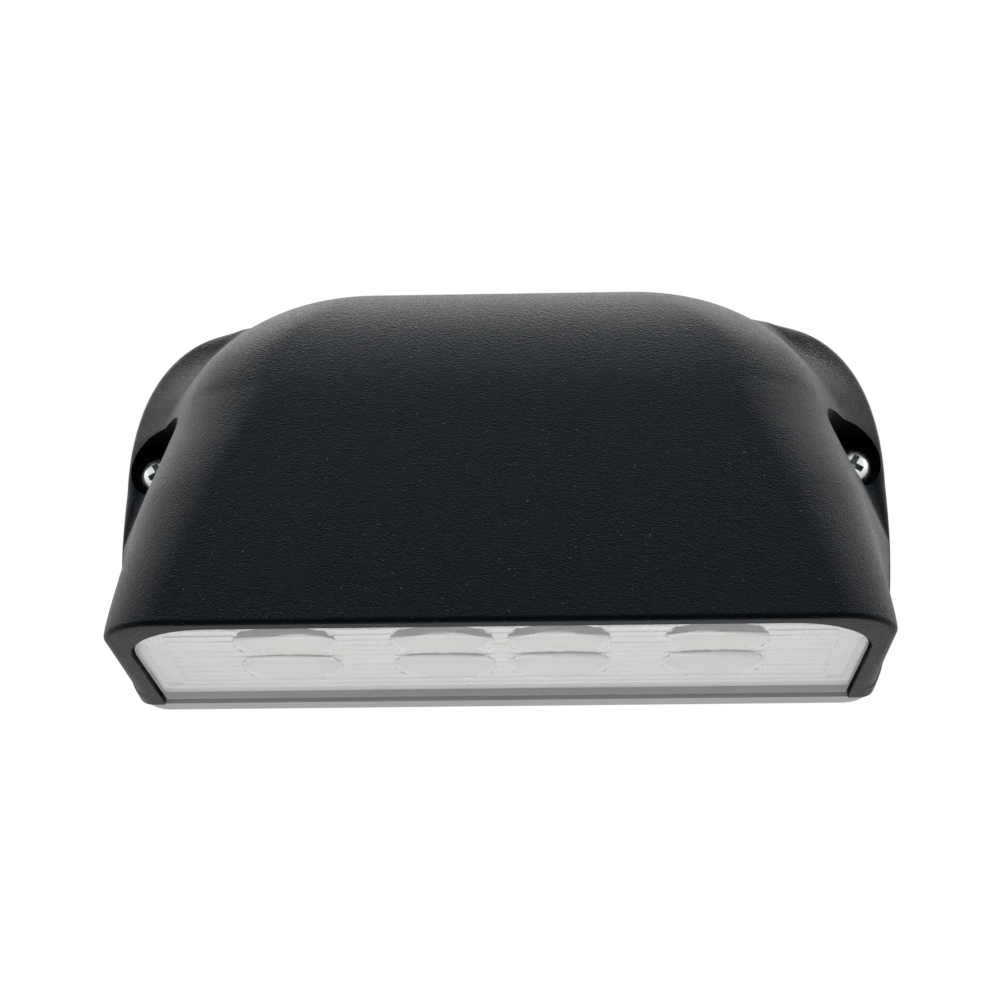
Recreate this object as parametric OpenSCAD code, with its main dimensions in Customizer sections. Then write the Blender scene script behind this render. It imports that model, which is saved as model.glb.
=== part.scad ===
// Number plate lamp with two fixing ears: a moulded hood over a tilted clear lens, lit by eight LEDs.
// Axes: X across the lamp, Y out of the vehicle panel towards the back, Z up. The lamp stands on the -Y side.
// Origin: on the back face, midway between the two fixing screws. Sizes are in millimetres.
// "Depth" is measured out of the panel (-Y) and "height" up from the lower edge of the back face.

/* [Hood] */
// Height of the hood above its lower back edge
hood_h = 70; // [63:0.2:77]
// Depth of the hood front at the lens
hood_depth = 47.2; // [40:0.2:54]
// Depth of the hood front, carried up to its top
top_depth = 31.3; // [26:0.1:36]
// How far the hood's lower back corners are set in from the ears
foot_in = 5.8; // [3:0.2:7]
// How far the hood's lower front edge is set in from the ears
lip_in = 4; // [3:0.2:6]
// How far the hood front, carried up to its top, is set in from the ears
crown_in = 24.8; // [20:0.2:30]
// Wall thickness
wall = 2.6; // [2:0.1:3.2]
// Depth of the ears
ear_depth = 8; // [7.4:0.1:10]
// Height of the curved shoulder at the top
shoulder_h = 11.5; // [8:0.5:16]
// Depth where the shoulder meets the roof
roof_depth = 15.8; // [12:0.2:20]

/* [Fixing] */
// Distance between the two fixing screws
screw_pitch = 124; // [116:0.5:140]
// Distance from a fixing screw's axis to the edge of its ear
ear_margin = 5.8; // [5.2:0.1:8]
// Height of the fixing screws above the lower edge
screw_h = 42.2; // [37:0.2:47]
// Shank radius of the fixing screws
screw_r = 1.75; // [1.4:0.05:2]
// Head radius of the fixing screws
screw_head_r = 3.5; // [3:0.1:3.8]
// Head height of the fixing screws
screw_head_h = 2.6; // [2:0.1:3]
// Length of the fixing screws under the head
screw_len = 22; // [16:1:32]
// Radius of the pocket round each screw head
pocket_r = 5.6; // [4.8:0.1:5.7]
// How far the pocket's axis is set in from its screw
pocket_in = 0.6; // [0.5:0.1:1]
// Depth of the pocket floor
pocket_floor = 5.2; // [4.8:0.1:5.6]

/* [Lens] */
// Tilt of the lens, front edge down
tilt = 4; // [3:0.5:8]
// Width of the hood rim beside the lens
lens_side = 4.2; // [4:0.1:6]
// Taper of each lens side towards the back
lens_taper = 2.2; // [0:0.2:3]
// Width of the hood rim in front of the lens
lens_rim = 3.2; // [2.8:0.1:6]
// Distance from the back face to the back edge of the lens
lens_back = 5; // [4:0.1:6]
// Radius of the front corners of the lens
lens_corner = 13.5; // [8:0.5:18]
// Thickness of the lens
lens_t = 2.8; // [2:0.1:3]
// Set-back of the lens from the hood rim
lens_recess = 0.4; // [0.2:0.1:1]
// Number of flutes inside the lens
flute_n = 11; // [5:1:11]
// Distance from the lens's back edge to the first flute
flute_back_in = 5.4; // [5:0.1:7]
// Distance from the lens's front edge to the last flute
flute_front_in = 7.6; // [6:0.1:9]

/* [Light] */
// Distance from the middle to the inner light columns
inner_col = 9.5; // [9:0.1:11]
// Distance from the lens side to the outer light columns
outer_in = 24.6; // [22:0.2:28]
// Distance from the lens's back edge to the rear row
rear_in = 13.3; // [12.6:0.1:14]
// Distance from the lens's front edge to the front row
front_in = 13; // [12:0.1:14]
// Radius of the round optics in the lens
optic_r = 8.5; // [7:0.1:8.6]
// Height of the round optics
optic_h = 2; // [1:0.1:2.4]

/* [Base] */
// Thickness of the base plate
base_t = 3; // [2.6:0.1:3.4]
// Radius of the supply cord's passage
cord_r = 2.6; // [2:0.1:3.2]
// Height of the cord inlet above the lower edge
inlet_h = 42.2; // [37:0.2:49]

/* [Board] */
// Thickness of the circuit board
board_t = 1.6; // [1:0.1:1.6]
// How far the circuit board's ends are set in from the lens sides
board_in = 8.4; // [6.4:0.2:9.4]

/* [Output] */
// Node to build: "all" or one node's name

/* [Hidden] */
$fn = 48;
eps = 0.02;
gap = 0.3;

// Half widths: over the ears, of the hood's foot, lip and crown, and of the lens and the board
ear_w = screw_pitch / 2 + ear_margin;
foot_w = ear_w - foot_in;
lip_w = ear_w - lip_in;
crown_w = ear_w - crown_in;
lens_w = lip_w - lens_side;
board_w = lens_w - board_in;
outer_col = lens_w - outer_in;

// Lengths along the lens plane, from the lower back edge: lens front, light rows, flutes
lens_front = hood_depth - lens_rim;
rear_row = lens_back + rear_in;
front_row = lens_front - front_in;
flute_first = lens_back + flute_back_in;
flute_pitch = (lens_front - flute_front_in - flute_first) / (flute_n - 1);

// Outline of the ears and the crease where they meet the hood's flank
ear_h = 35.8;
ear_top_in = 19;
ear_top_w = ear_w - ear_top_in;
ear_power = 2.45;
crease_h = 24.8;
crease_rise = 43.5;
crease_in = 15.2;
crease_power = 1.15;
crease_top_in = 3;
crease_top_power = 6;
crown_power = 1.15;
crown_arc_h = 19.7;
crown_arc_w = 20.8;
ear_edge_r = 2.4;
ear_rise = 0.5;
ear_lift = 6;
lift_h = 37;
lift_run = 12;
fall_h = 53;
fall_run = 14;
fall_share = 0.7;
crease_r = 5;
lip_corner_r = 9.4;
top_corner_r = 23.6;

// Skin of the hood: stations up its height and points round each station
stations = 30;
core_stations = 20;
plate_steps = 40;
band_steps = 14;
foot_turn = 15;
skin_arcs = [4, 4, 10];
core_arcs = [1, 2, 6];

// Opening of the hood at the back, which passes inside the fixing pockets
core_draft = 1.5;
open_swell = 8;
open_bulge = 6.4;

// Heights above the hood rim, square to the lens
lens_z = lens_recess;
lens_top = lens_recess + lens_t;
face_rise = 1.4;
face_z = lens_top + face_rise;
face_t = 1.4;
shelf_rise = 2;
shelf_z = face_z + shelf_rise;
flange_t = 1.2;
flange_top = lens_top + flange_t;
cup_depth = 6;
board_z = shelf_z + cup_depth;
board_top = board_z + board_t;

seal_w = 0.5;
seal_h = 3.2;
seal_back = base_t + seal_w;
ledge_w = 3;
reflector_w = lens_w - ledge_w - gap;
reflector_front = lens_front - ledge_w - gap;
reflector_setback = 3.5;
reflector_back = lens_back + reflector_setback;
flange_play = 0.1;
flute_pan = 1.6;

flute_h = 0.6;
flute_w = 1.9;
flute_in = 5.2;
flute_end = lens_w - flute_in;

cup_mouth_r = 8.2;
cup_throat_r = 3.1;
cup_wall = 0.8;
cup_throat_h = 0.6;
led_size = [3.5, 3.5, 1.4];
led_well_r = 1.3;
led_well_h = 0.3;

board_back = lens_back + 4;
board_front = lens_front - 5.2;
board_corner = 4;

arm_in = 3.5;
arm_x = board_w - arm_in;
arm_w = 8;
arm_t = 3;
arm_back = 0.6;
arm_over = 4.4;
board_screw_s = (rear_row + front_row) / 2;
arm_front = board_screw_s + arm_over;
board_screw_r = 1.1;
board_screw_len = 9;
board_screw_head_r = 2;
board_screw_head_h = 1.4;
board_boss_r = 3;

band_foot = 9;
rim_t = 1.2;
rim_depth = 3;
base_inset = 0.4;
base_foot_r = 3;
ledge_t = 2;
ledge_foot = 1.6;
seal_ring_w = 1.2;
seal_ring_t = 1.5;

grommet_flange_r = 6.6;
grommet_flange_t = 1.6;
grommet_neck_r = 4.4;
grommet_lip_r = 5.6;
grommet_lip_t = 1.2;
inlet_boss_r = 8.4;
inlet_boss_t = 2.4;

base_screw_r = 1.5;
base_screw_len = 12;
base_screw_head_r = 2.8;
base_screw_head_h = 1.6;
base_screw_sink = 1.8;
low_screw_in = 12.8;
low_screw_h = 24.8;
high_screw_in = 14.8;
high_screw_drop = 12.2;
base_screw_low = [ear_w - low_screw_in, low_screw_h];
base_screw_high = [ear_top_w - high_screw_in, hood_h - high_screw_drop];
post_r = 3.4;
post_bore = 14;

// Screw heads: turn of the fixing screws' cross, width and depth of a cross, outline as shares of radius and height
fixing_turn = 30;
fixing_neck_r = 1.4;
recess_w = 1.05;
recess_share = 0.58;
recess_span = 0.62;
head_outline = [[1, 0], [1, 0.45], [0.9, 0.75], [0.68, 0.93], [0.4, 1]];
tip_share = 1.6;
tip_blunt = 0.2;

// Components on the board: place as [x, distance from the lens back plane], and size
chip_at = [0, front_row + 1];
chip_size = [5, 4, 1.5];
chip_lift = 0.1;
leg_size = [0.5, 1.2, 0.6];
leg_pitch = 1.27;
input_diode_at = [18, rear_row - 2.3];
input_diode_size = [4.4, 2.7, 2.2];
surge_diode_at = [-18, rear_row - 2.3];
surge_diode_size = [4.6, 3.7, 2.3];
tab_size = [1, 0.6, 0.9];
resistor_1_at = [-24, front_row];
resistor_2_at = [15, front_row];
resistor_size = [6.3, 3.2, 0.55];
cap_size = [0.6, 3.2, 0.65];
capacitor_at = [30, front_row - 3];
can_foot = [6.6, 6.6, 0.8];
can_h = 7;
can_r = 3.15;
terminal_at = [0, rear_row - 1.3];
terminal_size = [10.2, 7.6, 8.4];
terminal_pitch = 5.08;
wire_r = 1.4;
wire_h = 3;
clamp_r = 1.7;
clamp_depth = 2.8;
clamp_back = 1;

light_cols = [-outer_col, -inner_col, inner_col, outer_col];
light_rows = [rear_row, front_row];

// Quarter of a unit circle, from 1 down to 0
function arc_fall(k) = sqrt(max(0, 1 - k * k));

// Half width of the ear outline at a height
function ear_k(z) = min(1, (z - ear_h) / (hood_h - ear_h));
function ear_x(z) = z > ear_h
    ? ear_top_w + (ear_w - ear_top_w) * pow(1 - pow(ear_k(z), ear_power), 1 / ear_power)
    : foot_w + (ear_w - foot_w) * arc_fall((ear_h - z) / ear_h);

// Half width of the crease between ear and flank at a height
function crease_k(z) = max(0, (z - crease_h) / crease_rise);
function crease_x(z) = min(ear_x(z) - gap,
    ear_w - crease_in * pow(crease_k(z), crease_power) - crease_top_in * pow(crease_k(z), crease_top_power));

// Depth of the crease at a height: round the pocket the ear slopes up towards the flank
function smooth_step(k) = let (c = max(0, min(1, k))) c * c * (3 - 2 * c);
function lift(z) = smooth_step((z - lift_h) / lift_run) * (1 - fall_share * smooth_step((z - fall_h) / fall_run));
function crease_y(z) = ear_depth + ear_rise + ear_lift * lift(z);

// Depth of the hood front at a height, rolling over to the roof near the top
function front_line(z) = hood_depth + (top_depth - hood_depth) * z / hood_h;
function roll(z) = 1 - arc_fall(max(0, (z - hood_h + shoulder_h) / shoulder_h));
function front_y(z) = front_line(z) - (front_line(z) - roof_depth) * roll(z);

// Half width of the hood front at a height, before its corner is rounded
function crown_arc(z) = 1 - arc_fall(max(0, (z - hood_h + crown_arc_h) / crown_arc_h));
function front_x(z) = lip_w + (crown_w - lip_w) * pow(z / hood_h, crown_power) - crown_arc_w * crown_arc(z);

// Radius of the hood's side corners at a height
function side_r(z) = lip_corner_r + (top_corner_r - lip_corner_r) * z / hood_h;

// Rounds the corner b between a and c by radius r with n steps, never past half of either leg
function unit(v) = v / norm(v);
function round_corner(a, b, c, r, n) =
    let (
        u = unit(a - b),
        w = unit(c - b),
        half = acos(max(-1, min(1, u * w))) / 2,
        t = min(r / tan(half), 0.48 * norm(a - b), 0.48 * norm(c - b)),
        rad = t * tan(half),
        mid = b + unit(u + w) * rad / sin(half),
        p = b + u * t - mid,
        q = b + w * t - mid,
        a0 = atan2(p[1], p[0]),
        turn = atan2(p[0] * q[1] - p[1] * q[0], p * q)
    )
    [for (i = [0 : n]) mid + rad * [cos(a0 + turn * i / n), sin(a0 + turn * i / n)]];

// Half of one station of the hood's skin as [x, depth], from the back edge to the end of the side corner
function skin_half(z) =
    let (
        foot = [ear_x(z), base_t],
        edge = [ear_x(z), ear_depth],
        crease = [crease_x(z), crease_y(z)],
        corner = [front_x(z), front_y(z)],
        middle = [0, front_y(z)]
    )
    concat(
        [foot],
        round_corner(foot, edge, crease, ear_edge_r, skin_arcs[0]),
        round_corner(edge, crease, corner, crease_r, skin_arcs[1]),
        round_corner(crease, corner, middle, side_r(z), skin_arcs[2])
    );

// Half width of the hood's opening at a height, drawn in round the fixing pockets
function open_x(z) = crease_x(z) - wall - open_bulge * exp(-pow((z - screw_h) / open_swell, 2));

// Half of one station of the hood's inside, one wall smaller than the skin
function core_half(z) =
    let (
        up = z * hood_h / (hood_h - wall),
        foot = [open_x(z), 0],
        edge = [open_x(z), ear_depth],
        corner = [min(front_x(up), open_x(z) + wall - core_draft) - wall, front_y(up) - wall],
        middle = [0, front_y(up) - wall]
    )
    concat(
        [foot],
        round_corner(foot, edge, corner, crease_r, core_arcs[1]),
        round_corner(edge, corner, middle, side_r(up) - wall, core_arcs[2])
    );

// One whole station, mirrored left to right; the lower stations follow the tilted rim
function lean(d, z) = z - d * tan(tilt) * (1 - z / hood_h);
function station(half, z) = concat(
    [for (p = half) [p[0], -p[1], lean(p[1], z)]],
    [for (i = [len(half) - 1 : -1 : 0]) [-half[i][0], -half[i][1], lean(half[i][1], z)]]
);

// Solid through a stack of stations that all have the same number of points
module skin(rows) {
    n = len(rows[0]);
    m = len(rows);
    top = (m - 1) * n;
    polyhedron(
        points = [for (r = rows) each r],
        faces = concat(
            [for (i = [0 : n / 2 - 2]) [i, n - 1 - i, n - 2 - i, i + 1]],
            [for (i = [0 : n / 2 - 2]) [top + i, top + i + 1, top + n - 2 - i, top + n - 1 - i]],
            [for (j = [0 : m - 2], i = [0 : n - 1]) [j * n + i, j * n + (i + 1) % n, (j + 1) * n + (i + 1) % n]],
            [for (j = [0 : m - 2], i = [0 : n - 1]) [j * n + i, (j + 1) * n + (i + 1) % n, (j + 1) * n + i]]
        ),
        convexity = 8
    );
}

// Heights of the stations, closer together towards the top
function station_z(j, n, top) = top * sin(90 * j / (n - 1));

// Puts drawings made from the lower back edge into the lamp's frame
module from_edge() {
    translate([0, 0, -screw_h]) children();
}

// Puts drawings made on the rim plane (front is -Y, into the hood is +Z) into the lamp's frame
module on_rim() {
    from_edge() rotate([tilt, 0, 0]) children();
}

// Cylinder running out of the panel from one depth to another, at a side distance and height
module spigot(x, h, r, d0, d1) {
    translate([x, -d0, h]) rotate([90, 0, 0]) cylinder(h = d1 - d0, r = r);
}

// Arch outline between two heights, from its half width as a list of [x, height]
function arch(half) = concat(half, [for (i = [len(half) - 1 : -1 : 0]) [-half[i][0], half[i][1]]]);
function rise(n, z0, z1) = [for (i = [0 : n]) z0 + (z1 - z0) * sin(90 * i / n)];

// Slab of the arch outline between two depths
module arch_slab(half, d0, d1) {
    translate([0, -d0, 0]) rotate([90, 0, 0]) linear_extrude(d1 - d0) polygon(arch(half));
}

// Outline of lens-like parts on the rim plane: tapered sides, round front corners, grown outwards by g
module rim_outline(w, back, front, corner, g) {
    side = [w - corner + (corner + g) * cos(lens_taper), corner - front + (corner + g) * sin(lens_taper)];
    rear = side[0] + (side[1] + back) * tan(lens_taper);
    polygon([[-side[0], side[1]], side, [rear, -back], [-rear, -back]]);
    translate([-w + corner, -front - g]) square([2 * (w - corner), front + g - back]);
    for (s = [-1, 1]) translate([s * (w - corner), -front + corner]) circle(corner + g);
}

module rim_prism(w, back, front, corner, g, z0, z1) {
    translate([0, 0, z0]) linear_extrude(z1 - z0) rim_outline(w, back, front, corner, g);
}

// Cross-shaped driver recess, its bottom at the origin and opening along +Z
module cross_recess(r, h) {
    for (a = [0, 90]) rotate([0, 0, a]) translate([-r, -recess_w / 2, 0]) cube([2 * r, recess_w, h]);
}

// Pan head screw with its seat at the origin, head along +Z, shank along -Z; a neck may thin it below the head
module pan_screw(head_r, head_h, r, len, turn, neck_r, neck) {
    tip = r * tip_share;
    difference() {
        union() {
            rotate_extrude() polygon(concat([[0, 0]], [for (p = head_outline) [head_r * p[0], head_h * p[1]]], [[0, head_h]]));
            translate([0, 0, -neck - eps]) cylinder(h = neck + 2 * eps, r = neck_r);
            translate([0, 0, tip - len]) cylinder(h = len - tip - neck, r = r);
            translate([0, 0, -len]) cylinder(h = tip + eps, r1 = r * tip_blunt, r2 = r);
        }
        translate([0, 0, head_h * (1 - recess_share)]) rotate([0, 0, turn]) cross_recess(head_r * recess_span, head_h);
    }
}

// Puts what it is given at the four places of the base screws
module at_base_screws() {
    for (s = [-1, 1], p = [base_screw_low, base_screw_high]) translate([s * p[0], 0, p[1]]) children();
}

// Band round the hood's opening, from the seal's outer edge plus play g to its inner edge less reach k
module seal_band(g, k, d0, d1) {
    zs = rise(band_steps, band_foot, hood_h - wall - gap);
    difference() {
        arch_slab([for (z = zs) [open_x(z) + seal_ring_w + g, z + (z > band_foot ? seal_ring_w + g : 0)]], d0, d1);
        arch_slab([for (z = zs) [open_x(z) - k, z - (z > band_foot ? k : 1)]], d0 - 1, d1 + 1);
    }
}

// Space inside the hood above the lens ledge, less the posts that take the base screws
module hood_core() {
    top = hood_h - wall;
    difference() {
        intersection() {
            from_edge() skin([for (j = [0 : core_stations - 1])
                let (z = station_z(j, core_stations, top)) station(core_half(z), z)]);
            on_rim() translate([-ear_w, -2 * hood_depth, shelf_z]) cube([2 * ear_w, 3 * hood_depth, 2 * hood_h]);
        }
        from_edge() at_base_screws() spigot(0, 0, post_r, base_t, hood_depth);
    }
}

module hood() {
    color([0.11, 0.13, 0.15]) difference() {
        from_edge() skin([for (j = [0 : stations - 1])
            let (z = station_z(j, stations, hood_h)) station(skin_half(z), z)]);
        hood_core();
        on_rim() rim_prism(lens_w, -base_t, lens_front, lens_corner, seal_w, -ear_depth, flange_top);
        on_rim() rim_prism(lens_w - ledge_w, -base_t, lens_front - ledge_w, lens_corner - ledge_w, 0, -rim_depth, shelf_z + eps);
        from_edge() for (s = [-1, 1]) {
            spigot(s * (screw_pitch / 2 - pocket_in), screw_h, pocket_r, pocket_floor, hood_depth);
            spigot(s * screw_pitch / 2, screw_h, screw_r + gap, 0, pocket_floor + 1);
        }
        from_edge() at_base_screws() spigot(0, 0, base_screw_r + gap / 2, 0, base_t + post_bore);
        from_edge() seal_band(gap / 2, wall, 0, base_t + seal_ring_t);
    }
}

module base_plate() {
    zs = concat([for (a = [0 : foot_turn : 90]) base_foot_r * (1 - cos(a))],
        rise(plate_steps, base_foot_r + 1, hood_h - base_inset));
    ledge_x = lens_w - ledge_w - gap - (lens_front - lens_corner) * tan(lens_taper);
    color([0.62, 0.63, 0.63]) difference() {
        union() {
            from_edge() arch_slab([for (z = zs) [ear_x(z) - base_inset - foot_round(z), z]], 0, base_t);
            from_edge() base_rim();
            from_edge() spigot(0, inlet_h, inlet_boss_r, base_t, base_t + inlet_boss_t);
            on_rim() translate([-ledge_x, -lens_back - ledge_t, flange_top])
                cube([2 * ledge_x, lens_back + ledge_t - ledge_foot, ledge_t]);
            on_rim() for (s = [-1, 1])
                translate([s * arm_x - arm_w / 2, -arm_front, board_top]) cube([arm_w, arm_front - arm_back, arm_t]);
        }
        from_edge() for (s = [-1, 1]) spigot(s * screw_pitch / 2, screw_h, screw_r + gap, -1, base_t + rim_depth);
        from_edge() at_base_screws() {
            spigot(0, 0, base_screw_r + gap, -1, base_t + 1);
            spigot(0, 0, base_screw_head_r + gap, -1, base_screw_sink);
        }
        from_edge() {
            spigot(0, inlet_h, grommet_neck_r, -1, base_t + inlet_boss_t + 1);
            spigot(0, inlet_h, grommet_lip_r, -1, grommet_lip_t);
        }
        on_rim() for (s = [-1, 1])
            translate([s * arm_x, -board_screw_s, board_top - 1]) cylinder(h = arm_t + 2, r = board_screw_r + gap);
    }
}

// How far the base plate's lower corners are drawn in at a height
function foot_round(z) = z < base_foot_r ? base_foot_r * (1 - arc_fall((base_foot_r - z) / base_foot_r)) : 0;

// Upstand on the base plate that locates the hood by its opening
module base_rim() {
    top = hood_h - wall;
    zs = concat([band_foot], [for (j = [0 : core_stations - 1]) let (z = station_z(j, core_stations, top))
        if (z > band_foot + 1) min(z, top - 2 * gap)]);
    difference() {
        arch_slab([for (z = zs) [open_x(z) - 2 * gap, z]], base_t - eps, base_t + rim_depth);
        arch_slab([for (z = zs) [open_x(z) - 2 * gap - rim_t, z - (z > band_foot ? rim_t : 1)]], 0, base_t + 2 * rim_depth);
    }
}

module base_seal() {
    color([0.05, 0.05, 0.05]) from_edge() seal_band(-gap / 2, -gap / 2, base_t, base_t + seal_ring_t);
}

module lens() {
    ball = (optic_r * optic_r + optic_h * optic_h) / (2 * optic_h);
    color([0.93, 0.95, 0.96, 0.35]) on_rim() {
        rim_prism(lens_w, lens_back, lens_front, lens_corner, 0, lens_z, lens_top);
        for (i = [0 : flute_n - 1]) translate([-flute_end, -flute_first - i * flute_pitch, lens_top - eps])
            rotate([90, 0, 90]) linear_extrude(2 * flute_end)
                polygon([[-flute_w / 2, 0], [flute_w / 2, 0], [flute_w / 5, flute_h], [-flute_w / 5, flute_h]]);
        for (x = light_cols, s = light_rows) intersection() {
            translate([x, -s, lens_top + optic_h - ball]) sphere(ball);
            translate([x, -s, lens_top - eps]) cylinder(h = optic_h + 1, r = optic_r);
        }
    }
}

module lens_seal() {
    color([0.05, 0.05, 0.05]) on_rim() difference() {
        rim_prism(lens_w, seal_back, lens_front, lens_corner, seal_w - flange_play, flange_top - seal_h, flange_top);
        rim_prism(lens_w, lens_back - flange_play, lens_front, lens_corner, flange_play, 0, flange_top + 1);
    }
}

// Cone and throat at every light, grown by g
module cups(g, z0) {
    for (x = light_cols, s = light_rows) translate([x, -s, 0]) {
        translate([0, 0, z0]) cylinder(h = board_z - cup_throat_h - z0, r1 = cup_mouth_r + g, r2 = cup_throat_r + g);
        translate([0, 0, board_z - cup_throat_h - eps]) cylinder(h = cup_throat_h + eps, r = cup_throat_r + g);
    }
}

module reflector() {
    w = reflector_w;
    front = reflector_front;
    corner = lens_corner - ledge_w - gap;
    pan = lens_w - flute_pan;
    color([0.9, 0.9, 0.9]) on_rim() difference() {
        union() {
            rim_prism(lens_w, lens_back + flange_play, lens_front, lens_corner, -flange_play, lens_top, flange_top);
            rim_prism(w, reflector_back, front, corner, 0, lens_top, face_z + face_t);
            cups(cup_wall, face_z + eps);
            for (s = [-1, 1])
                translate([s * arm_x, -board_screw_s, face_z + eps]) cylinder(h = board_z - face_z - eps, r = board_boss_r);
        }
        rim_prism(pan, reflector_back, lens_front - flute_pan, lens_corner - flute_pan, 0,
            lens_top - 1, lens_top + flute_h + gap / 2);
        rim_prism(w - face_t, reflector_back + face_t, front - face_t, corner - face_t, 0, lens_top - 1, face_z);
        cups(0, face_z);
        for (x = light_cols, s = light_rows) {
            translate([x, -s, face_z - 1]) cylinder(h = 1 + eps, r = cup_mouth_r);
            translate([x, -s, board_z - cup_throat_h]) cylinder(h = cup_throat_h + 1, r = cup_throat_r);
        }
        for (s = [-1, 1]) translate([s * arm_x, -board_screw_s, board_top + arm_t - board_screw_len - gap])
            cylinder(h = board_screw_len, r = board_screw_r + gap / 2);
    }
}

module circuit_board() {
    color([0.93, 0.94, 0.92]) on_rim() difference() {
        rim_prism(board_w, board_back, board_front, board_corner, 0, board_z, board_top);
        for (s = [-1, 1])
            translate([s * arm_x, -board_screw_s, board_z - 1]) cylinder(h = board_t + 2, r = board_screw_r + gap);
    }
}

module led(i) {
    x = light_cols[i % 4];
    s = light_rows[floor(i / 4)];
    color([0.95, 0.85, 0.35]) on_rim() translate([x, -s, board_z - led_size[2]]) difference() {
        translate([-led_size[0] / 2, -led_size[1] / 2, 0]) cube(led_size);
        translate([0, 0, -eps]) cylinder(h = led_well_h + eps, r = led_well_r);
    }
}

// Puts a component on the board's upper side
module on_board(at) {
    on_rim() translate([at[0], -at[1], board_top]) children();
}

// Box standing on the board, centred on its place
module chip_box(size, lift) {
    translate([-size[0] / 2, -size[1] / 2, lift]) cube(size);
}

module driver_chip() {
    color([0.08, 0.08, 0.09]) on_board(chip_at) {
        chip_box(chip_size, chip_lift);
        for (i = [-1.5 : 1.5], s = [-1, 1])
            translate([i * leg_pitch, s * (chip_size[1] + leg_size[1]) / 2 - s * 2 * chip_lift, 0]) chip_box(leg_size, 0);
    }
}

// Surface-mounted diode: moulded body between two end tabs
module diode(size) {
    chip_box([size[0], size[1], size[2] - chip_lift], chip_lift);
    for (s = [-1, 1]) translate([s * size[0] / 2, 0, 0]) chip_box([tab_size[0], size[1] * tab_size[1], tab_size[2]], 0);
}

module input_diode() {
    color([0.08, 0.08, 0.09]) on_board(input_diode_at) diode(input_diode_size);
}

module surge_diode() {
    color([0.08, 0.08, 0.09]) on_board(surge_diode_at) diode(surge_diode_size);
}

module resistor(at) {
    color([0.12, 0.12, 0.13]) on_board(at) {
        chip_box(resistor_size, 0);
        for (e = [-1, 1]) translate([e * (resistor_size[0] - cap_size[0]) / 2, 0, 0]) chip_box(cap_size, 0);
    }
}

module capacitor() {
    color([0.75, 0.76, 0.78]) on_board(capacitor_at) {
        chip_box(can_foot, 0);
        translate([0, 0, can_foot[2] - eps]) cylinder(h = can_h, r = can_r);
    }
}

module terminal_block() {
    color([0.16, 0.45, 0.3]) on_board(terminal_at) difference() {
        chip_box(terminal_size, 0);
        for (s = [-1, 1]) translate([s * terminal_pitch / 2, 0, 0]) {
            translate([0, 0, wire_h]) rotate([-90, 0, 0]) cylinder(h = terminal_size[1], r = wire_r);
            translate([0, -clamp_back, terminal_size[2] - clamp_depth]) cylinder(h = terminal_size[2], r = clamp_r);
        }
    }
}

module cord_grommet() {
    face = base_t + inlet_boss_t;
    color([0.06, 0.06, 0.06]) from_edge() difference() {
        union() {
            spigot(0, inlet_h, grommet_neck_r - gap / 2, 0, face + grommet_flange_t);
            spigot(0, inlet_h, grommet_lip_r - gap / 2, 0, grommet_lip_t);
            spigot(0, inlet_h, grommet_flange_r, face, face + grommet_flange_t);
        }
        spigot(0, inlet_h, cord_r, -1, face + grommet_flange_t + 1);
    }
}

module fixing_screw(side) {
    color([0.8, 0.81, 0.83]) from_edge() translate([side * screw_pitch / 2, -pocket_floor, screw_h]) rotate([90, 0, 0])
        pan_screw(screw_head_r, screw_head_h, screw_r, screw_len, fixing_turn, fixing_neck_r, pocket_floor);
}

module base_screw(side, place) {
    color([0.7, 0.71, 0.73]) from_edge() translate([side * place[0], -base_screw_sink, place[1]]) rotate([-90, 0, 0])
        pan_screw(base_screw_head_r, base_screw_head_h, base_screw_r, base_screw_len, 45, base_screw_r, 0);
}

module board_screw(side) {
    color([0.7, 0.71, 0.73]) on_rim() translate([side * arm_x, -board_screw_s, board_top + arm_t])
        pan_screw(board_screw_head_r, board_screw_head_h, board_screw_r, board_screw_len, 45, board_screw_r, 0);
}

hood();
base_plate();
base_seal();
lens();
lens_seal();
reflector();
circuit_board();
led(0);  // led_1
led(1);  // led_2
led(2);  // led_3
led(3);  // led_4
led(4);  // led_5
led(5);  // led_6
led(6);  // led_7
led(7);  // led_8
driver_chip();
input_diode();
surge_diode();
resistor(resistor_1_at);  // resistor_1
resistor(resistor_2_at);  // resistor_2
capacitor();
terminal_block();
cord_grommet();
fixing_screw(-1);  // fixing_screw_left
fixing_screw(1);  // fixing_screw_right
base_screw(-1, base_screw_low);  // base_screw_1
base_screw(1, base_screw_low);  // base_screw_2
base_screw(-1, base_screw_high);  // base_screw_3
base_screw(1, base_screw_high);  // base_screw_4
board_screw(-1);  // board_screw_1
board_screw(1);  // board_screw_2
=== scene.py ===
"""Number plate lamp: the finished looks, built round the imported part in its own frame."""
import math

import bmesh
import bpy
import numpy as np
from mathutils import Matrix, Vector


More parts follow.
